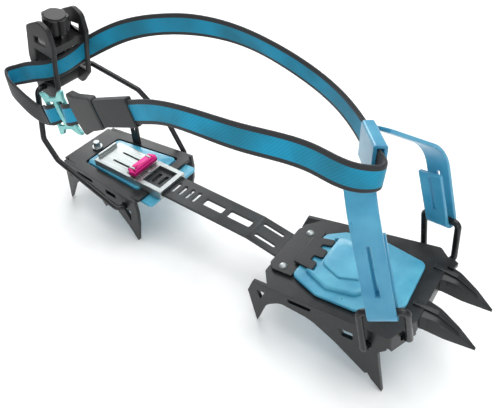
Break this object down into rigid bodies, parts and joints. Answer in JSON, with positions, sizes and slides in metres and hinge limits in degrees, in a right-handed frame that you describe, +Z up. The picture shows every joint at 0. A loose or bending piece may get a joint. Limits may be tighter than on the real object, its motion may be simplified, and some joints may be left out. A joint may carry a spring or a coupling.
{
  "type": "crampon",
  "caption": "Strap-on steel crampon for a right boot, with two-part frame, sliding bar, wire bails, heel lever, toe harness and ankle strap.",
  "frame": {"origin": "on the ground under the middle of the whole outline", "axes": "+X from heel to toe, +Y to the inner side of the foot, +Z up"},
  "size_m": [0.3421, 0.0968, 0.1615],
  "materials": {
    "black_steel": "satin black",
    "dark_steel": "satin dark grey",
    "silver_steel": "brushed",
    "wire_steel": "gloss black",
    "blue_skin": "translucent satin",
    "harness_blue": "translucent satin",
    "webbing": "woven",
    "black_plastic": "moulded",
    "magenta_metal": "anodised",
    "teal_metal": "anodised"
  },
  "bodies": {
    "toe_unit": {"toe_frame": "black_steel", "toe_skin": "blue_skin", "bar_end_plate": "black_steel", "bar_rivets": "silver_steel", "skin_latch": "black_steel", "centre_bar": "dark_steel", "harness_leg_near": "harness_blue", "harness_leg_far": "harness_blue", "harness_yoke": "harness_blue", "strap_front": "webbing"},
    "near_bail": {"toe_bail_near": "wire_steel"},
    "far_bail": {"toe_bail_far": "wire_steel"},
    "heel_unit": {"heel_frame": "black_steel", "heel_skin": "blue_skin", "adjuster_plate": "silver_steel", "adjuster_ring": "silver_steel", "lock_hinge_pin": "silver_steel", "adjuster_rivets": "silver_steel", "keeper_post": "black_plastic", "strap_rear_near": "webbing", "strap_sleeve": "black_plastic", "strap_buckle": "black_plastic", "strap_ring": "teal_metal"},
    "lock": {"locking_lever": "magenta_metal"},
    "tongue": {"lock_tongue": "silver_steel"},
    "rear_wire": {"rear_bail": "wire_steel", "strap_tail": "webbing"},
    "lever": {"heel_lever": "black_plastic"},
    "wheel": {"thumb_wheel": "dark_steel"},
    "nut": {"screw_nut": "dark_steel"}
  },
  "joints": [
    {"name": "length_slide", "type": "slide", "parent": "toe_unit", "child": "heel_unit", "axis": [1, 0, 0], "range_m": [-0.024, 0.014], "deforming": ["strap_front"]},
    {"name": "lock_lift", "type": "hinge", "parent": "heel_unit", "child": "lock", "pos_m": [-0.0821, -0.00404, 0.0498], "axis": [0, -1, 0], "range_deg": [0, 50]},
    {"name": "tongue_draw", "type": "slide", "parent": "heel_unit", "child": "tongue", "axis": [0, 0, 1], "range_m": [0, 0.002]},
    {"name": "rear_bail_swing", "type": "hinge", "parent": "heel_unit", "child": "rear_wire", "pos_m": [-0.0755, -0.00404, 0.032], "axis": [0, 1, 0], "range_deg": [-10, 6], "deforming": ["strap_tail"]},
    {"name": "heel_lever_turn", "type": "hinge", "parent": "rear_wire", "child": "lever", "pos_m": [-0.1495, -0.00404, 0.1], "axis": [0, 1, 0], "range_deg": [-7, 7]},
    {"name": "wheel_turn", "type": "hinge", "parent": "lever", "child": "wheel", "pos_m": [-0.1495, -0.00404, 0.1], "axis": [0.2079, 0, 0.9781], "range_deg": [-720, 720]},
    {"name": "nut_travel", "type": "slide", "parent": "lever", "child": "nut", "axis": [0.2079, 0, 0.9781], "range_m": [-0.002, 0.002]},
    {"name": "near_bail_swing", "type": "hinge", "parent": "toe_unit", "child": "near_bail", "pos_m": [0.12043, -0.03834, 0.03819], "axis": [0.7584, 0.4842, 0.4364], "range_deg": [-6, 6], "deforming": ["harness_leg_near"]},
    {"name": "far_bail_swing", "type": "hinge", "parent": "toe_unit", "child": "far_bail", "pos_m": [0.12043, 0.03716, 0.03819], "axis": [0.8554, -0.1323, 0.5008], "range_deg": [-6, 6], "deforming": ["harness_leg_far"]}
  ],
  "couplings": [
    {"joint": "tongue_draw", "follows": "lock_lift", "m_per_rad": 0.0022918},
    {"joint": "nut_travel", "follows": "wheel_turn", "m_per_rad": 0.00015915}
  ]
}
